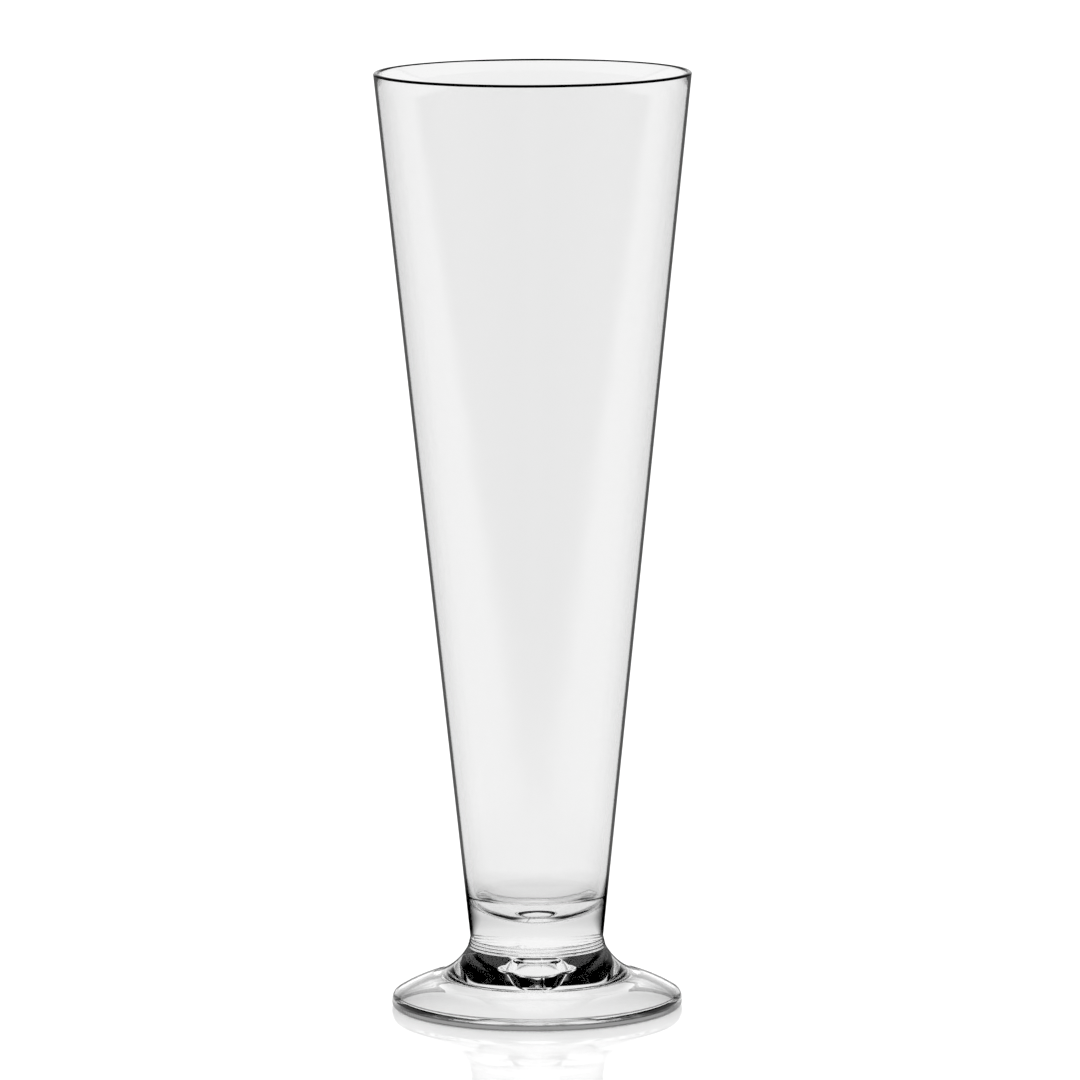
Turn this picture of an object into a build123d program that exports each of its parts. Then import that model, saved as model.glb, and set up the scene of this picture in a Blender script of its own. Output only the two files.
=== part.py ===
from build123d import *

import os
from math import cos, radians, sin, sqrt

# Footed pilsner glass in three fused pieces: conical bowl, ringed neck collar and hollow pressed foot.
# Millimetres, +Z up, origin at the middle of the circle that the glass stands on.

# Bowl
glass_height = 225.0
rim_diameter = 75.5
neck_diameter = 31.9
rim_wall = 1.2
rim_chamfer = 0.35
floor_wall = 1.9
base_thickness = 4.6
floor_dish_depth = 6.0
floor_corner_chamfer = 1.0

# Neck collar
collar_height = 2.2
collar_flare = 0.55
collar_ring_count = 3
collar_ring_ridge = 0.06

# Top of the foot: a hollow flare from the neck that turns into a crowned brim
foot_diameter = 69.7
foot_height = 14.5
brim_width = 9.0
brim_crest_height = 6.9
brim_slope_angle = 15.7
brim_middle_height = 5.25
edge_height = 2.9
edge_top_chamfer = 0.8
edge_bottom_chamfer = 0.9

# Underside of the foot: standing ring, even skirt, bulging ceiling and a bell-shaped hollow in the core
standing_ring_width = 1.4
standing_ring_height = 1.3
skirt_thickness = 2.5
ceiling_height = 6.2
ceiling_fall = 1.6
bell_mouth_diameter = 12.0
bell_mouth_chamfer = 0.7
bell_crown_diameter = 8.0
bell_crown_cover = 5.5
bell_crown_chamfer = 0.7

# Heights and radii that the pieces share at their fused faces
neck_radius = neck_diameter / 2
foot_neck_radius = neck_radius + collar_flare
collar_top = foot_height + collar_height

# Inside and outside of the bowl's wall
rim_radius = rim_diameter / 2
rim_shoulder_height = glass_height - rim_chamfer
floor_height = collar_top + base_thickness
outer_taper = (rim_radius - neck_radius) / (rim_shoulder_height - collar_top)
floor_radius = neck_radius + outer_taper * (base_thickness + floor_dish_depth) - floor_wall
floor_corner = (floor_radius, floor_height + floor_dish_depth)
base_corner = (neck_radius, collar_top)

with BuildPart() as bowl:
    with BuildSketch(Plane.XZ) as bowl_section:
        with BuildLine():
            Polyline(
                (0, collar_top),
                base_corner,
                (rim_radius, rim_shoulder_height),
                (rim_radius - rim_chamfer, glass_height),
                (rim_radius - rim_wall + rim_chamfer, glass_height),
                (rim_radius - rim_wall, rim_shoulder_height),
                floor_corner,
            )
            TangentArc((0, floor_height), floor_corner, tangent=(1, 0))
            Line((0, floor_height), (0, collar_top))
        make_face()
        chamfer(bowl_section.vertices().sort_by_distance(floor_corner)[0], floor_corner_chamfer)
    revolve(axis=Axis.Z)

# The collar widens from the bowl's base to the foot's neck, with fine ridged rings round its edge
ring_drop = collar_height / collar_ring_count
ring_step = collar_flare / collar_ring_count

with BuildPart() as neck_collar:
    with BuildSketch(Plane.XZ):
        with BuildLine():
            for ring in range(collar_ring_count):
                upper = (neck_radius + ring * ring_step, collar_top - ring * ring_drop)
                ridge = (upper[0] + ring_step / 2 + collar_ring_ridge, upper[1] - ring_drop / 2)
                lower = (upper[0] + ring_step, upper[1] - ring_drop)
                Polyline(upper, ridge, lower)
            Line((foot_neck_radius, foot_height), (0, foot_height))
            Line((0, foot_height), (0, collar_top))
            Line((0, collar_top), (neck_radius, collar_top))
        make_face()
    revolve(axis=Axis.Z)

# The foot's flare is an arc that runs out along the slope of the brim, which falls off in two steps
foot_radius = foot_diameter / 2
slope = radians(brim_slope_angle)
inward = (-cos(slope), sin(slope))
crest_radius = foot_radius - brim_width
crest = (crest_radius, brim_crest_height)
brim_middle = (foot_radius - brim_width / 2, brim_middle_height)
foot_neck = (foot_neck_radius, foot_height)
edge_top = (foot_radius, edge_height)
edge_bottom = (foot_radius, 0)

# The skirt's underside runs at one thickness below the top, down to the standing ring
flare_reach = crest_radius - foot_neck_radius
flare_rise = foot_height - brim_crest_height
flare_radius = (flare_reach**2 + flare_rise**2) / (2 * (flare_rise * cos(slope) - flare_reach * sin(slope)))
flare_center_radius = crest_radius + flare_radius * sin(slope)
flare_center_height = brim_crest_height + flare_radius * cos(slope)
under_crest = (
    crest_radius - skirt_thickness * sin(slope),
    brim_crest_height - skirt_thickness * cos(slope),
)
under_rise = flare_center_height - ceiling_height
under_reach = sqrt((flare_radius + skirt_thickness) ** 2 - under_rise**2)
ceiling_corner = (flare_center_radius - under_reach, ceiling_height)
bell_mouth = (bell_mouth_diameter / 2, ceiling_height - ceiling_fall)
bell_crown = (bell_crown_diameter / 2, foot_height - bell_crown_cover)
ceiling_middle = ((bell_mouth[0] + ceiling_corner[0]) / 2, bell_mouth[1] + ceiling_fall / 4)
ring_inner_radius = foot_radius - edge_bottom_chamfer - standing_ring_width
ring_foot = (ring_inner_radius, 0)
ring_top = (ring_inner_radius, standing_ring_height)

with BuildPart() as foot:
    with BuildSketch(Plane.XZ) as foot_section:
        with BuildLine():
            Line((0, foot_height), foot_neck)
            TangentArc(crest, foot_neck, tangent=inward)
            Polyline(crest, brim_middle, edge_top)
            Line(edge_top, edge_bottom)
            Line(edge_bottom, ring_foot)
            Line(ring_foot, ring_top)
            Line(under_crest, ring_top)
            Line(under_crest, ceiling_corner)
            Polyline(ceiling_corner, ceiling_middle, bell_mouth)
            Line(bell_mouth, bell_crown)
            Line(bell_crown, (0, bell_crown[1]))
            Line((0, bell_crown[1]), (0, foot_height))
        make_face()
        chamfer(foot_section.vertices().sort_by_distance(edge_top)[0], edge_top_chamfer)
        chamfer(foot_section.vertices().sort_by_distance(edge_bottom)[0], edge_bottom_chamfer)
        chamfer(foot_section.vertices().sort_by_distance(bell_mouth)[0], bell_mouth_chamfer)
        chamfer(foot_section.vertices().sort_by_distance(bell_crown)[0], bell_crown_chamfer)
    revolve(axis=Axis.Z)

os.makedirs("parts", exist_ok=True)
bowl.part.label = "bowl"
neck_collar.part.label = "neck_collar"
foot.part.label = "foot"
export_step(bowl.part, "parts/bowl.step")
export_step(neck_collar.part, "parts/neck_collar.step")
export_step(foot.part, "parts/foot.step")
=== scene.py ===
"""Footed pilsner glass, blown and pressed in clear glass: conical bowl, ringed neck collar and hollow foot.

Sizes are in millimetres and follow the solids of the part. Meshes are written in metres, with +Z up and the
origin at the middle of the circle that the glass stands on. Each piece is a half section turned about Z.
"""

from __future__ import annotations

import logging
from dataclasses import dataclass
from enum import Enum
from typing import Any

import bpy
import numpy as np
from mathutils import Matrix, Vector


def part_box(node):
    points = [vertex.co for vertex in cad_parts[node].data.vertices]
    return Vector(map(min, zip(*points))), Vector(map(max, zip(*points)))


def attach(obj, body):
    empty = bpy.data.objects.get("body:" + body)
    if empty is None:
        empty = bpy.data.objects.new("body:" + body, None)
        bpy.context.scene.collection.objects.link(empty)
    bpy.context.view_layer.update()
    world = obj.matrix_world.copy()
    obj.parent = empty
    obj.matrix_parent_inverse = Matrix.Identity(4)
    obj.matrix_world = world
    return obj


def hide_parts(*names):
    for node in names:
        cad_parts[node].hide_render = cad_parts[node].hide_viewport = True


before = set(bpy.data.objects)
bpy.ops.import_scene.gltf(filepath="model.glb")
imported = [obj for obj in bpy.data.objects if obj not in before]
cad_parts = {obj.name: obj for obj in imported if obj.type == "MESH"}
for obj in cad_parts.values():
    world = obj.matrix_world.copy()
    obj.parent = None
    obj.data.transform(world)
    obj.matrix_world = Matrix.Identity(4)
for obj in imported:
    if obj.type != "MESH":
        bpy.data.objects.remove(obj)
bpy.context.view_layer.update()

log = logging.getLogger("pilsner_glass")

Point = tuple[float, float]

MM = 0.001
SMOOTH = {"interpolation_type": "SMOOTHSTEP"}
WHITE = "#FFFFFF"

# Lengths under this many millimetres count as nothing
TINY = 1e-6

# Number of steps in a rounded corner or ring
ROUND_STEPS = 10


class Face(Enum):
    """What a stretch of surface is. The value is the place of its material on the mesh.

    POLISHED is the clear skin with its painted dark outline, FUSED a face where one piece runs on into the
    next,
    LIP the part of the rim's half round painted dark, and EDGE the painted grey band round the foot.
    """

    POLISHED = 0
    FUSED = 1
    LIP = 2
    EDGE = 3


def linear(hex_colour: str) -> tuple[float, float, float, float]:
    """Turns an sRGB hex colour into linear light.

    Args:
        hex_colour: Six hex digits after a hash sign.

    Returns:
        Red, green, blue and an alpha of 1.
    """
    srgb = np.array([int(hex_colour[at : at + 2], 16) for at in (1, 3, 5)]) / 255
    light = np.where(srgb <= 0.04045, srgb / 12.92, ((srgb + 0.055) / 1.055) ** 2.4)
    return (float(light[0]), float(light[1]), float(light[2]), 1.0)


def rise(degrees: float) -> float:
    """Gives the height of a direction of length 1 at an angle above the horizon."""
    return float(np.sin(np.radians(degrees)))


def add_node(
    tree: bpy.types.NodeTree,
    kind: str,
    settings: dict[str | int, Any] | None = None,
    **links: bpy.types.NodeSocket,
) -> bpy.types.Node:
    """Adds a node to a tree, sets its values and links its inputs.

    Args:
        tree: The node tree.
        kind: The node's type name.
        settings: Attributes by name, or input values by the input's name or number.
        links: Output sockets by the input's name, with underscores for spaces, or n and a number.

    Returns:
        The new node.
    """
    node = tree.nodes.new(kind)
    for name, value in (settings or {}).items():
        if isinstance(name, str) and hasattr(node, name):
            setattr(node, name, value)
        else:
            node.inputs[name].default_value = value
    for name, socket in links.items():
        key = int(name[1:]) if name[0] == "n" and name[1:].isdigit() else name.replace("_", " ")
        tree.links.new(socket, node.inputs[key])
    return node


def blank_material(name: str) -> bpy.types.Material:
    """Makes a material with an empty node tree.

    Args:
        name: The material's name.

    Returns:
        The new material.
    """
    material = bpy.data.materials.new(name)
    material.use_nodes = True
    material.node_tree.nodes.clear()
    return material


def straight(start: Point, end: Point, steps: int) -> np.ndarray:
    """Gives even points along a straight run.

    Args:
        start: Radius and height of the first point.
        end: Radius and height of the last point.
        steps: Number of steps between points.

    Returns:
        Points as rows of radius and height.
    """
    return np.linspace(start, end, steps + 1)


def swing(centre: Point, start: Point, end: Point, steps: int) -> np.ndarray:
    """Gives points on a circle about a centre, the short way round: centre + radius * (cos a, sin a).

    Args:
        centre: Radius and height of the circle's middle.
        start: First point, which sets the circle's radius.
        end: Point whose direction ends the arc.
        steps: Number of steps between points.

    Returns:
        Points as rows of radius and height.
    """
    middle = np.array(centre)
    first, last = np.array(start) - middle, np.array(end) - middle
    begin = np.arctan2(first[1], first[0])
    turn = (np.arctan2(last[1], last[0]) - begin + np.pi) % (2 * np.pi) - np.pi
    angles = begin + np.linspace(0, turn, steps + 1)
    return middle + np.hypot(*first) * np.stack([np.cos(angles), np.sin(angles)], axis=1)


def bend(start: Point, heading: Point, end: Point, steps: int) -> np.ndarray:
    """Gives an arc that leaves a point along a heading and ends at another point.

    The circle's centre lies across the heading at chord squared / (2 * chord across the heading).

    Args:
        start: First point.
        heading: Unit direction in which the arc leaves it.
        end: Last point.
        steps: Number of steps between points.

    Returns:
        Points as rows of radius and height.
    """
    chord = np.array(end) - np.array(start)
    across = np.array([-heading[1], heading[0]])
    centre = np.array(start) + across * (chord @ chord) / (2 * (chord @ across))
    return swing(tuple(centre), start, end, steps)


@dataclass
class Run:
    """One stretch of a half section.

    Attributes:
        points: Rows of radius and height.
        ease: Radius of the round between this run and the one before it.
        face: What the surface is along the run.
        ripple: Height of the slow waves left by the hot glass.
        seam: Height of the mould seams.
        notch: Depth of the grip notches.
        line: Width of the painted dark line along the glass's outline, at the run's first and last point.
    """

    points: np.ndarray
    ease: float = 0.0
    face: Face = Face.POLISHED
    ripple: float = 0.0
    seam: float = 0.0
    notch: float = 0.0
    line: tuple[float, float] = (0.0, 0.0)


@dataclass
class Section:
    """A whole half section from the axis back to the axis.

    Attributes:
        points: Rows of radius and height.
        faces: Place of the material of each step between points.
        ripple: Height of the slow waves at each point.
        seam: Height of the mould seams at each point.
        notch: Depth of the grip notches at each point.
        line: Width of the painted dark line at each point.
    """

    points: np.ndarray
    faces: np.ndarray
    ripple: np.ndarray
    seam: np.ndarray
    notch: np.ndarray
    line: np.ndarray


def trimmed(points: np.ndarray, cut: float) -> np.ndarray:
    """Cuts a length off the end of a run.

    Args:
        points: Rows of radius and height.
        cut: Length to take off, measured along the run.

    Returns:
        The shorter run, whose last point lies at the cut.
    """
    along = np.concatenate([[0.0], np.cumsum(np.hypot(*np.diff(points, axis=0).T))])
    stop = along[-1] - cut
    end = [np.interp(stop, along, points[:, 0]), np.interp(stop, along, points[:, 1])]
    return np.vstack([points[along < stop - TINY], end])


def unit(vector: np.ndarray) -> np.ndarray:
    """Scales a vector to length 1."""
    return vector / np.hypot(*vector)


def eased(before: np.ndarray, after: np.ndarray, radius: float) -> tuple[np.ndarray, np.ndarray, np.ndarray]:
    """Rounds the corner where two runs meet with a cubic curve along both runs' directions.

    The corner is cut back by radius * tan(half the turn), and the curve's handles have the length
    4/3 * tan(a quarter of the turn) * radius, which follows a circle closely.

    Args:
        before: The run that ends at the corner.
        after: The run that starts there.
        radius: The round's radius.

    Returns:
        The first run cut back, the round, and the second run cut back.
    """
    turn = np.arccos(np.clip(unit(before[-1] - before[-2]) @ unit(after[1] - after[0]), -1, 1))
    cut = radius * np.tan(turn / 2)
    first, second = trimmed(before, cut), trimmed(after[::-1], cut)[::-1]
    leave, arrive = unit(first[-1] - first[-2]), unit(second[1] - second[0])
    turn = np.arccos(np.clip(leave @ arrive, -1, 1))
    start, end = first[-1], second[0]
    handle = 4 / 3 * np.tan(turn / 4) * np.hypot(*(end - start)) / (2 * np.sin(turn / 2))
    share = np.linspace(0, 1, ROUND_STEPS + 1)[:, None]
    curve = (
        (1 - share) ** 3 * start
        + 3 * (1 - share) ** 2 * share * (start + handle * leave)
        + 3 * (1 - share) * share**2 * (end - handle * arrive)
        + share**3 * end
    )
    return first, curve, second


def joined(runs: list[Run]) -> Section:
    """Joins runs end to end and rounds the corners between them.

    A round takes the values of the polished run beside it. The painted dark line's width changes evenly along
    a run.

    Args:
        runs: The runs in order, each starting where the one before it ends.

    Returns:
        The whole section.
    """
    pieces = [run.points for run in runs]
    rounds: dict[int, np.ndarray] = {}
    for at, run in enumerate(runs):
        if run.ease > 0:
            pieces[at - 1], rounds[at], pieces[at] = eased(pieces[at - 1], pieces[at], run.ease)
    parts, owners, shares = [pieces[0][:1]], [0], [0.0]
    for at, run in enumerate(runs):
        if at in rounds:
            steps = len(rounds[at]) - 1
            ahead = run.face is Face.POLISHED
            parts.append(rounds[at][1:])
            owners += [at if ahead else at - 1] * steps
            shares += [0.0 if ahead else 1.0] * steps
        parts.append(pieces[at][1:])
        owners += [at] * (len(pieces[at]) - 1)
        shares += np.linspace(0, 1, len(pieces[at]))[1:].tolist()
    owner, share = np.array(owners), np.array(shares)
    first, last = np.array([run.line for run in runs])[owner].T
    return Section(
        points=np.vstack(parts),
        faces=np.array([run.face.value for run in runs])[owner[1:]],
        ripple=np.array([run.ripple for run in runs])[owner],
        seam=np.array([run.seam for run in runs])[owner],
        notch=np.array([run.notch for run in runs])[owner],
        line=first * (1 - share) + last * share,
    )


def softened(values: np.ndarray, width: int) -> np.ndarray:
    """Evens out a row of values with a sliding mean.

    Args:
        values: One value per point of a section.
        width: Number of points in the mean, an odd number.

    Returns:
        The evened values, with both ends held.
    """
    padded = np.pad(values, width // 2, mode="edge")
    return np.convolve(padded, np.ones(width) / width, mode="valid")


# Mould seams: two halves of a mould meet at these angles and leave a ridge of this width
SEAM_ANGLES = np.radians([-86.0, 94.0])
SEAM_WIDTH = 0.3

# Closer points on both sides of a seam: their reach, their number, and how far off the even points stay
SEAM_REACH = np.radians(2.4)
SEAM_POINTS = 17
SEAM_CLEAR = SEAM_REACH * 1.05

# Slow waves in hot glass: waves round the axis, turns per millimetre of height, phase and share of the height
RIPPLE_WAVES = ((3, 0.021, 0.4, 0.42), (5, -0.034, 2.1, 0.27), (8, 0.052, 4.4, 0.19), (13, -0.047, 1.3, 0.12))

# Number of points over which the ripple's height is evened out where two runs meet
RIPPLE_EASE = 9

# The relief fades out within this radius of the axis, so that the poles stay smooth
POLE_RADIUS = 2.0

# Edges that turn by more than this are shaded as sharp
SHARP_DEGREES = 40


def relief(section: Section, angles: np.ndarray, notches: int) -> np.ndarray:
    """Works out how far each point of a turned surface stands off its section.

    It is the sum of the ripple (cosines of whole numbers of waves round the axis, drifting with height), the
    mould seams (a bell-shaped ridge at each seam's angle) and the notches (a raised cosine that repeats round
    the axis).

    Args:
        section: The half section.
        angles: Angles of the section's copies, in radians.
        notches: Number of notches round the axis.

    Returns:
        Heights off the surface, one row per point of the section and one column per angle.
    """
    radius, height = section.points[:, 0:1], section.points[:, 1:2]
    waves = sum(
        share * np.cos(count * angles + drift * 2 * np.pi * height + phase)
        for count, drift, phase, share in RIPPLE_WAVES
    )
    away = (angles[None, :] - SEAM_ANGLES[:, None] + np.pi) % (2 * np.pi) - np.pi
    off_seam = away[None] * np.maximum(radius, POLE_RADIUS)[:, :, None]
    ridge = np.exp(-0.5 * (off_seam / (SEAM_WIDTH / 2)) ** 2).sum(axis=1)
    hollow = 0.5 - 0.5 * np.cos(notches * angles)[None, :]
    ripple = softened(section.ripple, RIPPLE_EASE)[:, None] * waves
    height_off = ripple + section.seam[:, None] * ridge - section.notch[:, None] * hollow
    return height_off * np.minimum(radius / POLE_RADIUS, 1.0)


def turned(name: str, section: Section, angles: np.ndarray, notches: int = 1) -> bpy.types.Object:
    """Turns a section about the Z axis and closes it at both poles.

    A point is section + normal * relief, at (radius * cos a, radius * sin a, height). The width of its
    painted dark line is kept as the mesh attribute "line".

    Args:
        name: The piece's name.
        section: The half section from pole to pole, with the solid on its left.
        angles: Angles of the section's copies, in radians, in rising order.
        notches: Number of notches round the axis.

    Returns:
        The new object, with its mesh in metres.
    """
    ahead = np.gradient(section.points, axis=0)
    ahead /= np.maximum(np.hypot(*ahead.T), TINY)[:, None]
    off = relief(section, angles, notches)
    radius = section.points[:, 0:1] + ahead[:, 1:2] * off
    height = section.points[:, 1:2] - ahead[:, 0:1] * off
    grid = np.stack([radius * np.cos(angles), radius * np.sin(angles), height], axis=2)

    around = len(angles)
    rings = len(section.points) - 2
    points = np.vstack([grid[0, :1], grid[1:-1].reshape(-1, 3), grid[-1, :1]]) * MM
    here = 1 + np.arange(rings)[:, None] * around + np.arange(around)[None, :]
    beside = np.roll(here, -1, axis=1)
    quads = np.stack([here[:-1], beside[:-1], beside[1:], here[1:]], axis=2).reshape(-1, 4)
    first = np.stack([np.zeros(around, int), beside[0], here[0]], axis=1)
    last = np.stack([np.full(around, len(points) - 1), here[-1], beside[-1]], axis=1)
    corners = np.concatenate([first.ravel(), quads.ravel(), last.ravel()])
    sizes = np.concatenate([np.full(around, 3), np.full(len(quads), 4), np.full(around, 3)])
    starts = np.concatenate([[0], np.cumsum(sizes)[:-1]])
    line = np.concatenate([section.line[:1], np.repeat(section.line[1:-1], around), section.line[-1:]])

    mesh = bpy.data.meshes.new(name)
    mesh.vertices.add(len(points))
    mesh.vertices.foreach_set("co", points.ravel())
    mesh.loops.add(len(corners))
    mesh.loops.foreach_set("vertex_index", corners.astype(np.int32))
    mesh.polygons.add(len(sizes))
    mesh.polygons.foreach_set("loop_start", starts.astype(np.int32))
    mesh.polygons.foreach_set("material_index", np.repeat(section.faces, around).astype(np.int32))
    mesh.update(calc_edges=True)
    # Width of the painted dark line, read by the glass material
    mesh.attributes.new("line", "FLOAT", "POINT").data.foreach_set("value", line.astype(np.float32))
    mesh.shade_smooth()
    mesh.set_sharp_from_angle(angle=np.radians(SHARP_DEGREES))
    piece = bpy.data.objects.new(name, mesh)
    bpy.context.collection.objects.link(piece)
    return piece


@dataclass(frozen=True)
class PolishedGlass:
    """Colourless soda-lime glass with a fire-polished skin.

    The skin is mirror smooth, so the eye sees only bent light and clean reflections. The dark line along the
    outline, where the wall is seen through its whole depth, and the soft grey where light has a long way
    through the glass are painted shade: tints of the glass, not light that it bends.

    Attributes:
        name: Name of the material.
        tint: Colour of the light that passes a surface seen square on.
        painted_outline_tint: Colour of the painted dark line along the outline.
        painted_grey_tint: Colour of the painted soft grey where light has a long way through the glass.
        painted_grey_reach: Width of that painted grey beside a line 1 mm wide. It grows with the square of
            the line.
        line_fade: Least width over which the painted dark line fades out on its inner side.
        line_core: Width of the black part of a wide painted line, whose rest is a painted soft shade.
        ior: Refractive index of soda-lime glass.
    """

    # Glass with a painted dark line along its outline and a painted soft grey beside it
    name: str = "soda_lime_glass_painted_outline"
    tint: str = "#FBFBFB"
    painted_outline_tint: str = "#000000"
    painted_grey_tint: str = "#DCDCDC"
    painted_grey_reach: float = 6.5
    line_fade: float = 0.35
    line_core: float = 0.6
    ior: float = 1.52

    def material(self) -> bpy.types.Material:
        """Builds the material.

        The depth behind the outline is radius * (1 - sqrt(1 - facing squared)), where facing is the cosine
        between the surface's normal and the view, and radius is the distance from the axis. The painted
        dark line is dark down to its width, less a fade, and the painted grey fades out over its reach,
        the grey's reach times the line squared.

        Returns:
            The new material.
        """
        material = blank_material(self.name)
        tree = material.node_tree
        # At a blend of a half, Facing is 1 less the cosine
        weight = add_node(tree, "ShaderNodeLayerWeight", {"Blend": 0.5})
        facing = add_node(
            tree, "ShaderNodeMath", {"operation": "SUBTRACT", 0: 1.0}, n1=weight.outputs["Facing"]
        ).outputs[0]
        square = add_node(tree, "ShaderNodeMath", {"operation": "MULTIPLY"}, n0=facing, n1=facing)
        rest = add_node(tree, "ShaderNodeMath", {"operation": "SUBTRACT", 0: 1.0}, n1=square.outputs[0])
        aside = add_node(tree, "ShaderNodeMath", {"operation": "SQRT"}, n0=rest.outputs[0])
        short = add_node(tree, "ShaderNodeMath", {"operation": "SUBTRACT", 0: 1.0}, n1=aside.outputs[0])
        place = add_node(tree, "ShaderNodeTexCoord")
        flat = add_node(
            tree,
            "ShaderNodeVectorMath",
            {"operation": "MULTIPLY", 1: (1 / MM, 1 / MM, 0)},
            n0=place.outputs["Object"],
        )
        radius = add_node(tree, "ShaderNodeVectorMath", {"operation": "LENGTH"}, n0=flat.outputs["Vector"])
        depth = add_node(
            tree, "ShaderNodeMath", {"operation": "MULTIPLY"}, n0=short.outputs[0], n1=radius.outputs["Value"]
        )
        line = add_node(tree, "ShaderNodeAttribute", {"attribute_name": "line"})
        left = add_node(
            tree, "ShaderNodeMath", {"operation": "SUBTRACT"}, n0=line.outputs["Fac"], n1=depth.outputs[0]
        )
        soft = add_node(
            tree, "ShaderNodeMath", {"operation": "SUBTRACT", 1: self.line_core}, n0=line.outputs["Fac"]
        )
        fade = add_node(
            tree, "ShaderNodeMath", {"operation": "MAXIMUM", 1: self.line_fade}, n0=soft.outputs[0]
        )
        # Share of the painted dark line: full within the line's width, less a fade
        dark = add_node(
            tree,
            "ShaderNodeMapRange",
            {**SMOOTH, "From Min": 0.0},
            Value=left.outputs[0],
            From_Max=fade.outputs[0],
        )
        line_square = add_node(
            tree, "ShaderNodeMath", {"operation": "MULTIPLY"}, n0=line.outputs["Fac"], n1=line.outputs["Fac"]
        )
        reach = add_node(
            tree, "ShaderNodeMath", {"operation": "MULTIPLY", 1: self.painted_grey_reach}, n0=line_square.outputs[0]
        )
        # Share of the painted soft grey beside the outline
        painted_grey_share = add_node(
            tree,
            "ShaderNodeMapRange",
            {**SMOOTH, "From Max": 0.0},
            Value=depth.outputs[0],
            From_Min=reach.outputs[0],
        )
        # A Mix node's colours are its inputs 6 and 7 and its output 2
        # The painted soft grey mixed into the glass's tint
        body = add_node(
            tree,
            "ShaderNodeMix",
            {"data_type": "RGBA", 6: linear(self.tint), 7: linear(self.painted_grey_tint)},
            n0=painted_grey_share.outputs["Result"],
        )
        # The painted dark line mixed into the glass's tint
        tint = add_node(
            tree,
            "ShaderNodeMix",
            {"data_type": "RGBA", 7: linear(self.painted_outline_tint)},
            n0=dark.outputs["Result"],
            n6=body.outputs[2],
        )
        glass = add_node(
            tree,
            "ShaderNodeBsdfPrincipled",
            {"Roughness": 0.0, "IOR": self.ior, "Transmission Weight": 1.0},
            Base_Color=tint.outputs[2],
        )
        add_node(tree, "ShaderNodeOutputMaterial", None, Surface=glass.outputs["BSDF"])
        return material


@dataclass(frozen=True)
class FusedGlass:
    """The faces where two pieces are fused: the glass runs on through them, so the eye sees nothing there.

    Attributes:
        name: Name of the material.
        tint: Colour of the light that passes.
        ior: Refractive index across the joint, close to 1 because both sides are the same glass.
    """

    name: str = "fused_glass_joint"
    tint: str = WHITE
    ior: float = 1.001

    def material(self) -> bpy.types.Material:
        """Builds the material.

        Returns:
            The new material.
        """
        material = blank_material(self.name)
        tree = material.node_tree
        joint = add_node(
            tree,
            "ShaderNodeBsdfPrincipled",
            {"Base Color": linear(self.tint), "Roughness": 0.0, "IOR": self.ior, "Transmission Weight": 1.0},
        )
        add_node(tree, "ShaderNodeOutputMaterial", None, Surface=joint.outputs["BSDF"])
        return material


@dataclass
class GlassPiece:
    """What the three pieces of glass share.

    Attributes:
        node: Name of the solid that the piece stands for.
        segments: Number of copies of the section round the axis.
    """

    node: str
    segments: int

    def box(self) -> tuple[np.ndarray, np.ndarray]:
        """Gives the lowest and highest corners of the piece's solid, in millimetres."""
        low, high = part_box(self.node)
        return np.array(low) / MM, np.array(high) / MM

    def angles(self) -> np.ndarray:
        """Gives even angles round the axis, with closer ones on both sides of each mould seam.

        Returns:
            Angles in radians, in rising order.
        """
        even = np.linspace(-np.pi, np.pi, self.segments, endpoint=False)
        close = (SEAM_ANGLES[:, None] + np.linspace(-SEAM_REACH, SEAM_REACH, SEAM_POINTS)).ravel()
        close = (close + np.pi) % (2 * np.pi) - np.pi
        away = np.abs((even[:, None] - SEAM_ANGLES + np.pi) % (2 * np.pi) - np.pi).min(axis=1)
        return np.sort(np.concatenate([even[away > SEAM_CLEAR], close]))

    def dress(self, piece: bpy.types.Object, materials: dict[Face, bpy.types.Material]) -> None:
        """Gives a piece its materials and puts it in its solid's place.

        Args:
            piece: The piece's object.
            materials: Material of each kind of face.
        """
        for face in Face:
            piece.data.materials.append(materials[face])
        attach(piece, "root")
        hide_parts(self.node)
        log.info("%s: %d faces", piece.name, len(piece.data.polygons))


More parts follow.
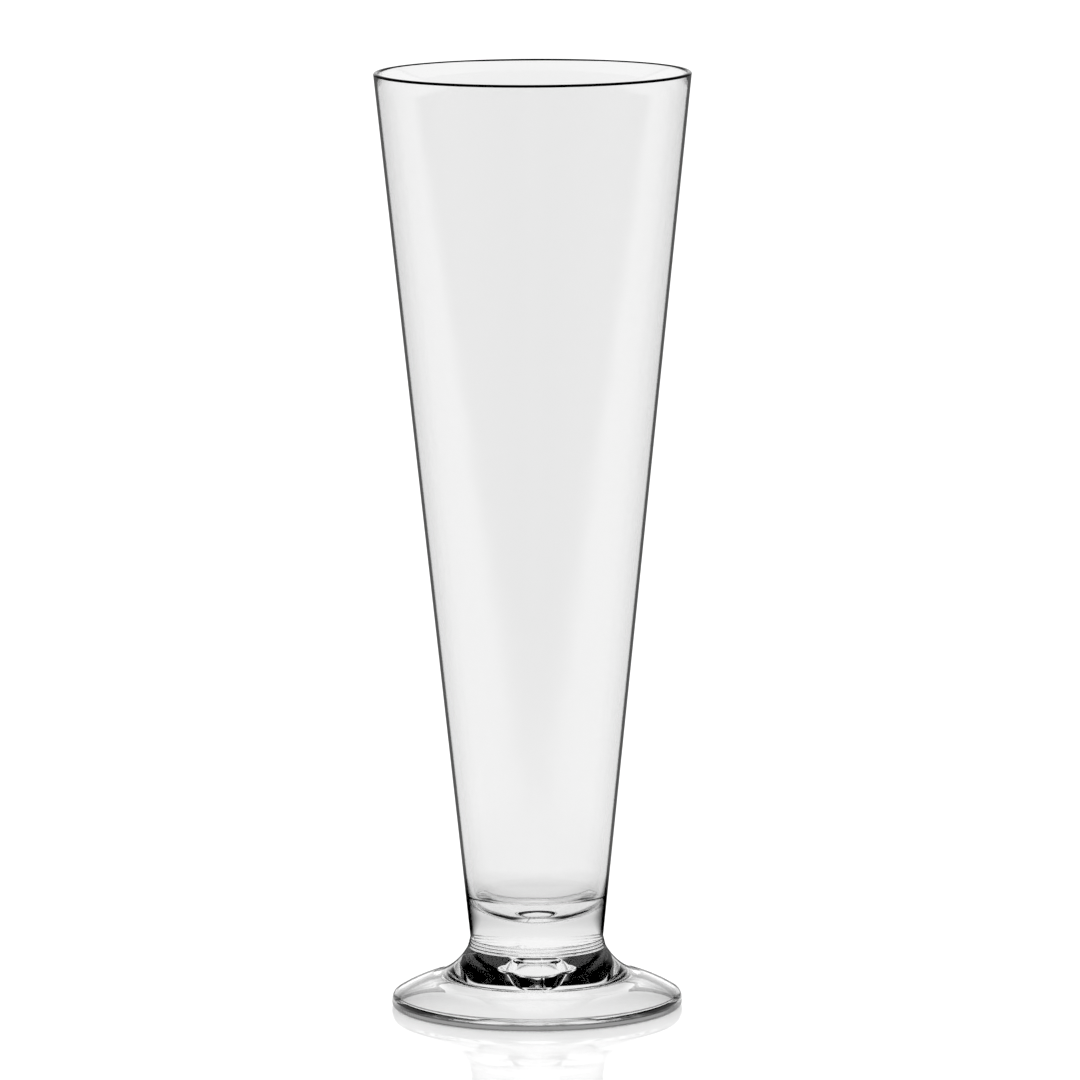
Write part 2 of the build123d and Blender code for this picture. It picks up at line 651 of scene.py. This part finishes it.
@dataclass
class Bowl(GlassPiece):
    """The tall cone with its fire-polished rim, thin tapering wall, dished floor and thick solid base.

    Attributes:
        neck_radius: Radius of the base where it meets the collar.
        rim_wall: Thickness of the wall at the rim, which ends in a half round.
        floor_wall: Thickness of the wall at the floor's edge.
        base_thickness: Thickness of the glass under the middle of the floor.
        floor_dish: Height of the floor's edge over its middle.
        floor_corner_radius: Round between floor and wall.
        wall_ripple: Height of the waves inside the wall.
        floor_ripple: Height of the waves in the floor.
        lip_steps: Number of steps in a quarter round of the lip.
        lip_dark: Number of the lip's steps painted as a dark line, from the outside in.
        wall_painted_line: Width of the painted dark line along the wall's outline.
        base_painted_line: Width of the painted dark line and its painted soft shade at the solid base's
            outline.
        base_painted_line_height: Where that width is reached, as a share of the base's thickness.
        base_painted_line_end: How far above the floor's edge it has gone back to the wall's.
    """

    node: str = "bowl"
    segments: int = 320
    neck_radius: float = 15.95
    rim_wall: float = 1.2
    floor_wall: float = 1.9
    base_thickness: float = 4.6
    floor_dish: float = 6.0
    floor_corner_radius: float = 2.0
    wall_ripple: float = 0.012
    floor_ripple: float = 0.08
    lip_steps: int = 9
    lip_dark: int = 15
    wall_painted_line: float = 0.96
    base_painted_line: float = 3.4
    base_painted_line_height: float = 1.3
    base_painted_line_end: float = 5.0

    def build(self) -> bpy.types.Object:
        """Builds the bowl from its half section: base, outer wall, half-round lip, inner wall and floor.

        The part of the lip painted dark is a run of its own, from the outer wall over the top to well inside.

        Returns:
            The bowl's object.
        """
        low, high = self.box()
        rim_radius, top, bottom = high[0], high[2], low[2]
        shoulder = top - self.rim_wall / 2
        taper = (rim_radius - self.neck_radius) / (shoulder - bottom)
        floor = bottom + self.base_thickness
        floor_radius = self.neck_radius + taper * (self.base_thickness + self.floor_dish) - self.floor_wall
        floor_edge = (floor_radius, floor + self.floor_dish)
        base_edge = (self.neck_radius, bottom)
        over_floor = (
            floor_radius + self.floor_wall + taper * self.base_painted_line_end,
            floor_edge[1] + self.base_painted_line_end,
        )
        climb = self.base_thickness * self.base_painted_line_height
        base_middle = (self.neck_radius + taper * climb, bottom + climb)
        lip_middle = (rim_radius - self.rim_wall / 2, shoulder)
        lip_top = (lip_middle[0], top)
        outer_lip, inner_lip = (rim_radius, shoulder), (rim_radius - self.rim_wall, shoulder)
        outer_round = swing(lip_middle, outer_lip, lip_top, steps=self.lip_steps)
        inner_round = swing(lip_middle, lip_top, inner_lip, steps=self.lip_steps)
        lip = np.vstack([outer_round, inner_round[1:]])
        dish = bend((0, floor), (1, 0), floor_edge, steps=30)[::-1]
        runs = [
            Run(straight((0, bottom), base_edge, steps=12), face=Face.FUSED),
            Run(straight(base_edge, base_middle, steps=8), line=(self.wall_painted_line / 2, self.base_painted_line)),
            Run(straight(base_middle, over_floor, steps=8), line=(self.base_painted_line, self.wall_painted_line)),
            Run(straight(over_floor, outer_lip, steps=60), line=(self.wall_painted_line, self.wall_painted_line)),
            Run(lip[: self.lip_dark + 1], face=Face.LIP),
            Run(lip[self.lip_dark :]),
            Run(straight(inner_lip, floor_edge, steps=90), ripple=self.wall_ripple),
            Run(dish, ease=self.floor_corner_radius, ripple=self.floor_ripple),
        ]
        return turned("bowl_glass", joined(runs), self.angles())


@dataclass
class NeckCollar(GlassPiece):
    """The thin wafer between bowl and foot, with fine rounded rings round its edge.

    Attributes:
        top_radius: Radius where the collar meets the bowl.
        ring_count: Number of rings.
        ring_bulge: How far a ring stands out.
        joint_gap: How far the fused faces lie off the faces that they meet, so that light passes each one.
        seam_height: Height of the mould seams.
        outline: Width of the painted dark line along the outline.
    """

    node: str = "neck_collar"
    segments: int = 320
    top_radius: float = 15.95
    ring_count: int = 3
    ring_bulge: float = 0.06
    joint_gap: float = 0.02
    seam_height: float = 0.05
    outline: float = 0.7

    def build(self) -> bpy.types.Object:
        """Builds the collar from its half section: bottom face, rings and top face.

        A ring is an arc over a chord, with radius (half chord squared + bulge squared) / (2 * bulge).

        Returns:
            The collar's object.
        """
        low, high = self.box()
        bottom_radius, bottom, top = high[0], low[2], high[2]
        radii = np.linspace(bottom_radius, self.top_radius, self.ring_count + 1)
        corners = np.stack([radii, np.linspace(bottom, top, self.ring_count + 1)], axis=1)
        runs = [Run(self.joint_face(bottom_radius, bottom, self.joint_gap), face=Face.FUSED)]
        for start, end in zip(corners[:-1], corners[1:]):
            half = np.hypot(*(end - start)) / 2
            bulge_radius = (half**2 + self.ring_bulge**2) / (2 * self.ring_bulge)
            outward = unit(np.array([end[1] - start[1], start[0] - end[0]]))
            centre = (start + end) / 2 + outward * (self.ring_bulge - bulge_radius)
            ring = swing(tuple(centre), tuple(start), tuple(end), steps=ROUND_STEPS)
            runs.append(Run(ring, seam=self.seam_height, line=(self.outline, self.outline)))
        runs.append(Run(self.joint_face(self.top_radius, top, -self.joint_gap)[::-1], face=Face.FUSED))
        return turned("neck_collar_glass", joined(runs), self.angles())

    def joint_face(self, radius: float, height: float, lift: float) -> np.ndarray:
        """Gives a fused face that lies a hair off the face it meets, and touches it at the edge.

        Args:
            radius: The face's radius.
            height: Height of its edge.
            lift: How far the rest of the face lies above its edge.

        Returns:
            Points from the axis outwards, as rows of radius and height.
        """
        inside = straight((0, height + lift), (radius - 2 * abs(lift), height + lift), steps=8)
        return np.vstack([inside, [radius, height]])


@dataclass
class Foot(GlassPiece):
    """The pressed foot: flare, crowned brim, even skirt over a hollow, bulging ceiling and bell in the core.

    Attributes:
        neck_radius: Radius where the foot meets the collar.
        brim_width: Width of the brim outside the flare.
        crest_height: Height of the crest between flare and brim.
        slope_degrees: Slope of the top at the crest.
        edge_height: Height of the foot's edge.
        edge_top_radius: Round on top of the edge.
        edge_bottom_radius: Round under the edge.
        edge_painted_band: Number of that round's steps that belong to the painted grey band of the edge, from
            the top down.
        ring_radius: Inner radius of the standing ring.
        ring_height: Height of the standing ring's inner side.
        ring_corner_radius: Round of the standing ring's inner corners.
        skirt: Thickness of the flare and the brim.
        ceiling_height: Height of the hollow's ceiling at its outer corner.
        ceiling_fall: How far the ceiling bulges down towards the bell's mouth.
        ceiling_corner_radius: Round of the ceiling's outer corner.
        bell_mouth: Radius of the bell at its mouth.
        bell_mouth_radius: Round of the bell's mouth.
        bell_crown: Radius of the bell at its crown.
        bell_cover: Thickness of the glass over the bell.
        bell_crown_radius: Round of the bell's crown.
        seam_height: Height of the mould seams.
        notch_depth: Depth of the grip notches under the standing ring and round its outer corner.
        notch_count: Number of grip notches.
        outline: Width of the painted dark line along the outline at the top of the flare, which runs out at
            the crest.
    """

    node: str = "foot"
    segments: int = 648
    neck_radius: float = 16.5
    brim_width: float = 9.0
    crest_height: float = 6.9
    slope_degrees: float = 15.7
    edge_height: float = 2.9
    edge_top_radius: float = 1.8
    edge_bottom_radius: float = 1.0
    edge_painted_band: int = 5
    ring_radius: float = 32.55
    ring_height: float = 1.3
    ring_corner_radius: float = 0.3
    skirt: float = 2.5
    ceiling_height: float = 6.2
    ceiling_fall: float = 1.6
    ceiling_corner_radius: float = 3.0
    bell_mouth: float = 6.0
    bell_mouth_radius: float = 1.2
    bell_crown: float = 4.0
    bell_cover: float = 5.5
    bell_crown_radius: float = 1.2
    seam_height: float = 0.05
    notch_depth: float = 0.12
    notch_count: int = 216
    outline: float = 0.5

    def build(self) -> bpy.types.Object:
        """Builds the foot from its half section: bell, ceiling, skirt, ring, edge, brim, flare and top face.

        The flare is an arc that runs out along the slope at the crest, with radius
        (reach squared + climb squared) / (2 * (climb * cos slope - reach * sin slope)). The skirt's underside
        has the same centre and lies one thickness below it.

        Returns:
            The foot's object.
        """
        _, high = self.box()
        radius, top = high[0], high[2]
        slope = np.radians(self.slope_degrees)
        outward = (np.cos(slope), -np.sin(slope))
        crest = (radius - self.brim_width, self.crest_height)
        neck = (self.neck_radius, top)
        reach, climb = crest[0] - neck[0], top - self.crest_height
        flare_radius = (reach**2 + climb**2) / (2 * (climb * np.cos(slope) - reach * np.sin(slope)))
        centre = (crest[0] + flare_radius * np.sin(slope), crest[1] + flare_radius * np.cos(slope))
        under_crest = (crest[0] - self.skirt * np.sin(slope), crest[1] - self.skirt * np.cos(slope))
        under_reach = np.sqrt((flare_radius + self.skirt) ** 2 - (centre[1] - self.ceiling_height) ** 2)
        ceiling = (centre[0] - under_reach, self.ceiling_height)
        mouth = (self.bell_mouth, self.ceiling_height - self.ceiling_fall)
        crown = (self.bell_crown, top - self.bell_cover)
        ring_top, ring_foot = (self.ring_radius, self.ring_height), (self.ring_radius, 0)
        edge_low, edge_top = (radius, self.edge_bottom_radius), (radius, self.edge_height)
        ring_edge = (radius - self.edge_bottom_radius, 0)
        standing = straight(ring_foot, ring_edge, steps=3)
        low_round = swing((ring_edge[0], edge_low[1]), ring_edge, edge_low, steps=ROUND_STEPS)
        band = ROUND_STEPS - self.edge_painted_band
        brim = bend(crest, outward, edge_top, steps=12)[::-1]
        runs = [
            Run(straight((0, crown[1]), crown, steps=4)),
            Run(straight(crown, mouth, steps=6), ease=self.bell_crown_radius),
            Run(bend(mouth, (1, 0), ceiling, steps=10), ease=self.bell_mouth_radius),
            Run(swing(centre, ceiling, under_crest, steps=12), ease=self.ceiling_corner_radius),
            Run(bend(under_crest, outward, ring_top, steps=12)),
            Run(straight(ring_top, ring_foot, steps=1), ease=self.ring_corner_radius),
            Run(standing, ease=self.ring_corner_radius, notch=self.notch_depth),
            Run(low_round[: band + 1], notch=self.notch_depth),
            # The lowest steps of the round and the upright edge carry the painted grey band
            Run(low_round[band:], face=Face.EDGE, notch=self.notch_depth),
            Run(straight(edge_low, edge_top, steps=2), face=Face.EDGE),
            Run(brim, ease=self.edge_top_radius, seam=self.seam_height / 2),
            Run(swing(centre, crest, neck, steps=20), seam=self.seam_height, line=(0.0, self.outline)),
            Run(straight(neck, (0, top), steps=3), face=Face.FUSED),
        ]
        return turned("foot_glass", joined(runs), self.angles(), self.notch_count)


@dataclass
class Studio:
    """Plain pale floor, soft light and the photograph's camera.

    Attributes:
        floor_radius: Radius of the round floor, in metres.
        floor_sides: Number of points on its edge.
        floor_paint: Colour of the floor.
        floor_fill: Light that the rest of the room adds to the floor.
        floor_through: Level of the floor seen through the glass.
        sheen: Share of the floor's faint sheen close to the glass.
        sheen_reach: Distances from the axis where the sheen starts to fade and ends, in metres.
        sheen_roughness: Roughness of the sheen.
        room_top: Heights where the pale room seen through the glass starts to fade and ends, in degrees.
        box_foot: Heights where the soft box over the back starts and is full, in degrees.
        box_top: Heights where the soft box starts to fade and ends, in degrees.
        box_side: Angles from the back where the soft box starts to fade and ends, in degrees.
        box_level: Level of the soft box.
        back_level: Level of the room's back and front, mirrored in the glass, and of the floor's painted far
            level.
        side_level: How much brighter its sides are.
        painted_dark_reach: Distances from the axis where the painted dark ring of the mirrored floor is dark
            and where it is back at its level, in metres.
        painted_bright_reach: Distances from the axis where the painted bright patch of the mirrored floor at
            the foot fades and ends, in metres.
        painted_bright_level: Level of that painted bright patch, mirrored in the glass.
        wall_top: Heights where the mirrored room starts to fade and ends, in degrees.
        panel_side: Angles from the back where the bright back panel starts to fade and ends, in degrees.
        panel_foot: Heights where the panel starts and is full, in degrees.
        panel_top: Heights where the panel starts to fade and ends, in degrees.
        panel_level: Level of the panel.
        camera_place: Where the camera stands, in metres.
        camera_aim: The point at the middle of the picture, in metres.
        camera_roll: Turn of the camera about its view, in degrees.
        focal_pixels: Focal length in pixels of the picture.
        picture_pixels: Width of the picture in pixels.
    """

    floor_radius: float = 8.0
    floor_sides: int = 96
    floor_paint: str = "#E7E7E7"
    floor_fill: float = 0.42
    floor_through: float = 0.97
    sheen: float = 0.25
    sheen_reach: tuple[float, float] = (0.06, 0.2)
    sheen_roughness: float = 0.03
    room_top: tuple[float, float] = (1.5, 3.0)
    box_foot: tuple[float, float] = (10.0, 14.0)
    box_top: tuple[float, float] = (60.0, 68.0)
    box_side: tuple[float, float] = (7.0, 18.0)
    box_level: float = 1.0
    back_level: float = 0.15
    side_level: float = 0.5
    painted_dark_reach: tuple[float, float] = (0.12, 0.17)
    painted_bright_reach: tuple[float, float] = (0.065, 0.085)
    painted_bright_level: float = 1.0
    wall_top: tuple[float, float] = (12.0, 25.0)
    panel_side: tuple[float, float] = (13.0, 22.0)
    panel_foot: tuple[float, float] = (0.0, 3.0)
    panel_top: tuple[float, float] = (22.0, 34.0)
    panel_level: float = 1.5
    camera_place: tuple[float, float, float] = (0.0, -1.928, 0.387)
    camera_aim: tuple[float, float, float] = (0.00124, 0.0, 0.1129)
    camera_roll: float = -0.28
    focal_pixels: float = 8153.0
    picture_pixels: float = 1080.0

    def floor(self) -> bpy.types.Object:
        """Builds the floor, a fan of points on a circle about its middle: radius * (cos a, sin a, 0).

        Returns:
            The floor's object.
        """
        sides = self.floor_sides
        angles = np.linspace(0, 2 * np.pi, sides, endpoint=False)
        rim = np.stack([np.cos(angles), np.sin(angles), np.zeros(sides)], axis=1) * self.floor_radius
        here = np.arange(sides) + 1
        fan = np.stack([np.zeros(sides, int), here, np.roll(here, -1)], axis=1)
        mesh = bpy.data.meshes.new("floor")
        mesh.from_pydata(np.vstack([np.zeros((1, 3)), rim]).tolist(), [], fan.tolist())
        mesh.materials.append(self.floor_material())
        floor = bpy.data.objects.new("floor", mesh)
        bpy.context.collection.objects.link(floor)
        return floor

    def floor_material(self) -> bpy.types.Material:
        """Builds the floor's finish: pale matt paint that keeps shadows, with a faint sheen at the glass.

        Rays bent by the glass see the floor as a pale level. Rays mirrored by it see painted light: a painted
        bright patch at the foot, a painted dark ring round that, and further out a painted level that rises
        from the back to the sides with the square of the sideways direction.

        Returns:
            The new material.
        """
        material = blank_material("pale_matt_floor_painted_mirror_levels")
        tree = material.node_tree
        white = linear(WHITE)
        matt = add_node(tree, "ShaderNodeBsdfDiffuse", {"Color": linear(self.floor_paint)})
        fill = add_node(tree, "ShaderNodeEmission", {"Color": white, "Strength": self.floor_fill})
        paint = add_node(tree, "ShaderNodeAddShader", None, n0=matt.outputs[0], n1=fill.outputs[0])
        place = add_node(tree, "ShaderNodeTexCoord").outputs["Object"]
        away = add_node(tree, "ShaderNodeVectorMath", {"operation": "LENGTH"}, n0=place)
        ramps: dict[str, bpy.types.NodeSocket] = {}
        # Ramps by distance from the axis: the sheen's share, the painted dark ring and the painted bright
        # patch
        for name, (dark, pale), level in (
            ("sheen", self.sheen_reach[::-1], self.sheen),
            ("painted_dark_ring", self.painted_dark_reach, 1.0),
            ("bright", self.painted_bright_reach[::-1], self.painted_bright_level),
        ):
            ramps[name] = add_node(
                tree,
                "ShaderNodeMapRange",
                {**SMOOTH, "From Min": dark, "From Max": pale, "To Max": level},
                Value=away.outputs["Value"],
            ).outputs["Result"]
        gloss = add_node(tree, "ShaderNodeBsdfGlossy", {"Color": white, "Roughness": self.sheen_roughness})
        face = add_node(
            tree,
            "ShaderNodeMixShader",
            None,
            n0=ramps["sheen"],
            n1=paint.outputs[0],
            n2=gloss.outputs[0],
        )
        way = add_node(tree, "ShaderNodeVectorMath", {"operation": "NORMALIZE"}, n0=place)
        axes = add_node(tree, "ShaderNodeSeparateXYZ", None, Vector=way.outputs["Vector"])
        aside = add_node(
            tree, "ShaderNodeMath", {"operation": "MULTIPLY"}, n0=axes.outputs["X"], n1=axes.outputs["X"]
        )
        # Painted light: the far floor, as the glass mirrors it, glows at a level that rises from the back to
        # the sides
        painted_far_level = add_node(
            tree,
            "ShaderNodeMath",
            {"operation": "MULTIPLY_ADD", 1: self.side_level, 2: self.back_level},
            n0=aside.outputs[0],
        )
        # Painted light for mirrored rays: the far level times the painted dark ring, plus the painted bright
        # patch
        mirror = add_node(
            tree,
            "ShaderNodeMath",
            {"operation": "MULTIPLY_ADD"},
            n0=painted_far_level.outputs[0],
            n1=ramps["painted_dark_ring"],
            n2=ramps["bright"],
        )
        mirrored = add_node(tree, "ShaderNodeEmission", {"Color": white}, Strength=mirror.outputs[0])
        through = add_node(tree, "ShaderNodeEmission", {"Color": white, "Strength": self.floor_through})
        rays = add_node(tree, "ShaderNodeLightPath")
        gloss_seen = add_node(
            tree,
            "ShaderNodeMixShader",
            None,
            n0=rays.outputs["Is Glossy Ray"],
            n1=face.outputs[0],
            n2=mirrored.outputs[0],
        )
        seen = add_node(
            tree,
            "ShaderNodeMixShader",
            None,
            n0=rays.outputs["Is Transmission Ray"],
            n1=gloss_seen.outputs[0],
            n2=through.outputs[0],
        )
        add_node(tree, "ShaderNodeOutputMaterial", None, Surface=seen.outputs[0])
        return material

    def light(self) -> None:
        """Builds the world, which gives matt surfaces even soft light and shows the glass a plain studio.

        Light bent by the glass comes from a pale room, up to a little over the horizon, from a narrow soft
        box over the back, and from the dark between and above them. Light mirrored by it comes from walls
        that brighten from the back to the sides with the square of the sideways direction and fade out
        overhead, and from a bright panel at the back. The level of panel and soft box is the product of three
        ramps: foot, top and sides.
        """
        world = bpy.data.worlds.new("soft_studio")
        bpy.context.scene.world = world
        world.use_nodes = True
        tree = world.node_tree
        tree.nodes.clear()
        white = linear(WHITE)
        way = add_node(tree, "ShaderNodeTexCoord")
        axes = add_node(tree, "ShaderNodeSeparateXYZ", None, Vector=way.outputs["Generated"])
        across, high = axes.outputs["X"], axes.outputs["Z"]
        turn = add_node(tree, "ShaderNodeMath", {"operation": "ARCTAN2"}, n0=across, n1=axes.outputs["Y"])
        off_back = add_node(tree, "ShaderNodeMath", {"operation": "ABSOLUTE"}, n0=turn.outputs[0]).outputs[0]
        ramps: dict[str, bpy.types.NodeSocket] = {}
        for name, along, scale, (dark, pale), level in (
            ("room", high, rise, self.room_top[::-1], 1.0),
            ("wall", high, rise, self.wall_top[::-1], 1.0),
            ("panel_foot", high, rise, self.panel_foot, 1.0),
            ("panel_top", high, rise, self.panel_top[::-1], self.panel_level),
            ("panel_side", off_back, np.radians, self.panel_side[::-1], 1.0),
            ("box_foot", high, rise, self.box_foot, 1.0),
            ("box_top", high, rise, self.box_top[::-1], self.box_level),
            ("box_side", off_back, np.radians, self.box_side[::-1], 1.0),
        ):
            ramps[name] = add_node(
                tree,
                "ShaderNodeMapRange",
                {**SMOOTH, "From Min": scale(dark), "From Max": scale(pale), "To Max": level},
                Value=along,
            ).outputs["Result"]
        lamps: dict[str, bpy.types.NodeSocket] = {}
        for name in ("panel", "box"):
            lamps[name] = ramps[f"{name}_foot"]
            for end in ("top", "side"):
                ramp = ramps[f"{name}_{end}"]
                lamps[name] = add_node(
                    tree, "ShaderNodeMath", {"operation": "MULTIPLY"}, n0=lamps[name], n1=ramp
                ).outputs[0]
        aside = add_node(tree, "ShaderNodeMath", {"operation": "MULTIPLY"}, n0=across, n1=across)
        wall_level = add_node(
            tree,
            "ShaderNodeMath",
            {"operation": "MULTIPLY_ADD", 1: self.side_level, 2: self.back_level},
            n0=aside.outputs[0],
        )
        walls = add_node(
            tree, "ShaderNodeMath", {"operation": "MULTIPLY"}, n0=wall_level.outputs[0], n1=ramps["wall"]
        )
        mirror = add_node(
            tree, "ShaderNodeMath", {"operation": "MAXIMUM"}, n0=lamps["panel"], n1=walls.outputs[0]
        )
        through = add_node(
            tree, "ShaderNodeMath", {"operation": "MAXIMUM"}, n0=ramps["room"], n1=lamps["box"]
        )
        bent = add_node(tree, "ShaderNodeBackground", {"Strength": 1.0}, Color=through.outputs[0])
        mirrored = add_node(tree, "ShaderNodeBackground", {"Strength": 1.0}, Color=mirror.outputs[0])
        soft = add_node(tree, "ShaderNodeBackground", {"Color": white, "Strength": 1.0})
        rays = add_node(tree, "ShaderNodeLightPath")
        even = add_node(
            tree,
            "ShaderNodeMath",
            {"operation": "MAXIMUM"},
            n0=rays.outputs["Is Diffuse Ray"],
            n1=rays.outputs["Is Camera Ray"],
        )
        glass = add_node(
            tree,
            "ShaderNodeMixShader",
            None,
            n0=rays.outputs["Is Transmission Ray"],
            n1=mirrored.outputs[0],
            n2=bent.outputs[0],
        )
        seen = add_node(
            tree, "ShaderNodeMixShader", None, n0=even.outputs[0], n1=glass.outputs[0], n2=soft.outputs[0]
        )
        add_node(tree, "ShaderNodeOutputWorld", None, Surface=seen.outputs[0])

    def camera(self) -> bpy.types.Object:
        """Builds the camera from its place, aim and roll.

        Returns:
            The camera's object, set as the scene's camera.
        """
        data = bpy.data.cameras.new("camera")
        data.lens = data.sensor_width * self.focal_pixels / self.picture_pixels
        camera = bpy.data.objects.new("camera", data)
        bpy.context.collection.objects.link(camera)
        view = Vector(self.camera_aim) - Vector(self.camera_place)
        roll = Matrix.Rotation(np.radians(self.camera_roll), 3, "Z")
        turn = view.to_track_quat("-Z", "Y").to_matrix() @ roll
        camera.matrix_world = Matrix.Translation(self.camera_place) @ turn.to_4x4()
        bpy.context.scene.camera = camera
        return camera


# Light crosses many faces of clear glass before it comes out
GLASS_BOUNCES = 32
MIRROR_BOUNCES = 12


def main() -> None:
    """Builds the studio and the three pieces of glass, and logs each piece's number of faces."""
    logging.basicConfig(level=logging.INFO)
    scene = bpy.context.scene
    scene.view_settings.view_transform = "Standard"
    scene.cycles.max_bounces = GLASS_BOUNCES
    scene.cycles.transmission_bounces = GLASS_BOUNCES
    scene.cycles.glossy_bounces = MIRROR_BOUNCES
    studio = Studio()
    studio.floor()
    studio.light()
    studio.camera()
    materials = {
        Face.POLISHED: PolishedGlass().material(),
        Face.FUSED: FusedGlass().material(),
        # The half-round lip is a thin rod of glass that bends the pale room away, so it looks like a dark
        # line.
        # That line is painted shade: a black tint, with a low index.
        Face.LIP: PolishedGlass(name="lip_glass_painted_dark", tint="#000000", ior=1.05).material(),
        # The foot's upright edge is seen through the whole width of the brim, so the eye sees a grey band.
        # That band is painted shade: a grey tint.
        Face.EDGE: PolishedGlass(name="pressed_edge_glass_painted_grey", tint="#585858").material(),
    }
    for piece in (Bowl(), NeckCollar(), Foot()):
        piece.dress(piece.build(), materials)


if __name__ == "__main__":
    main()
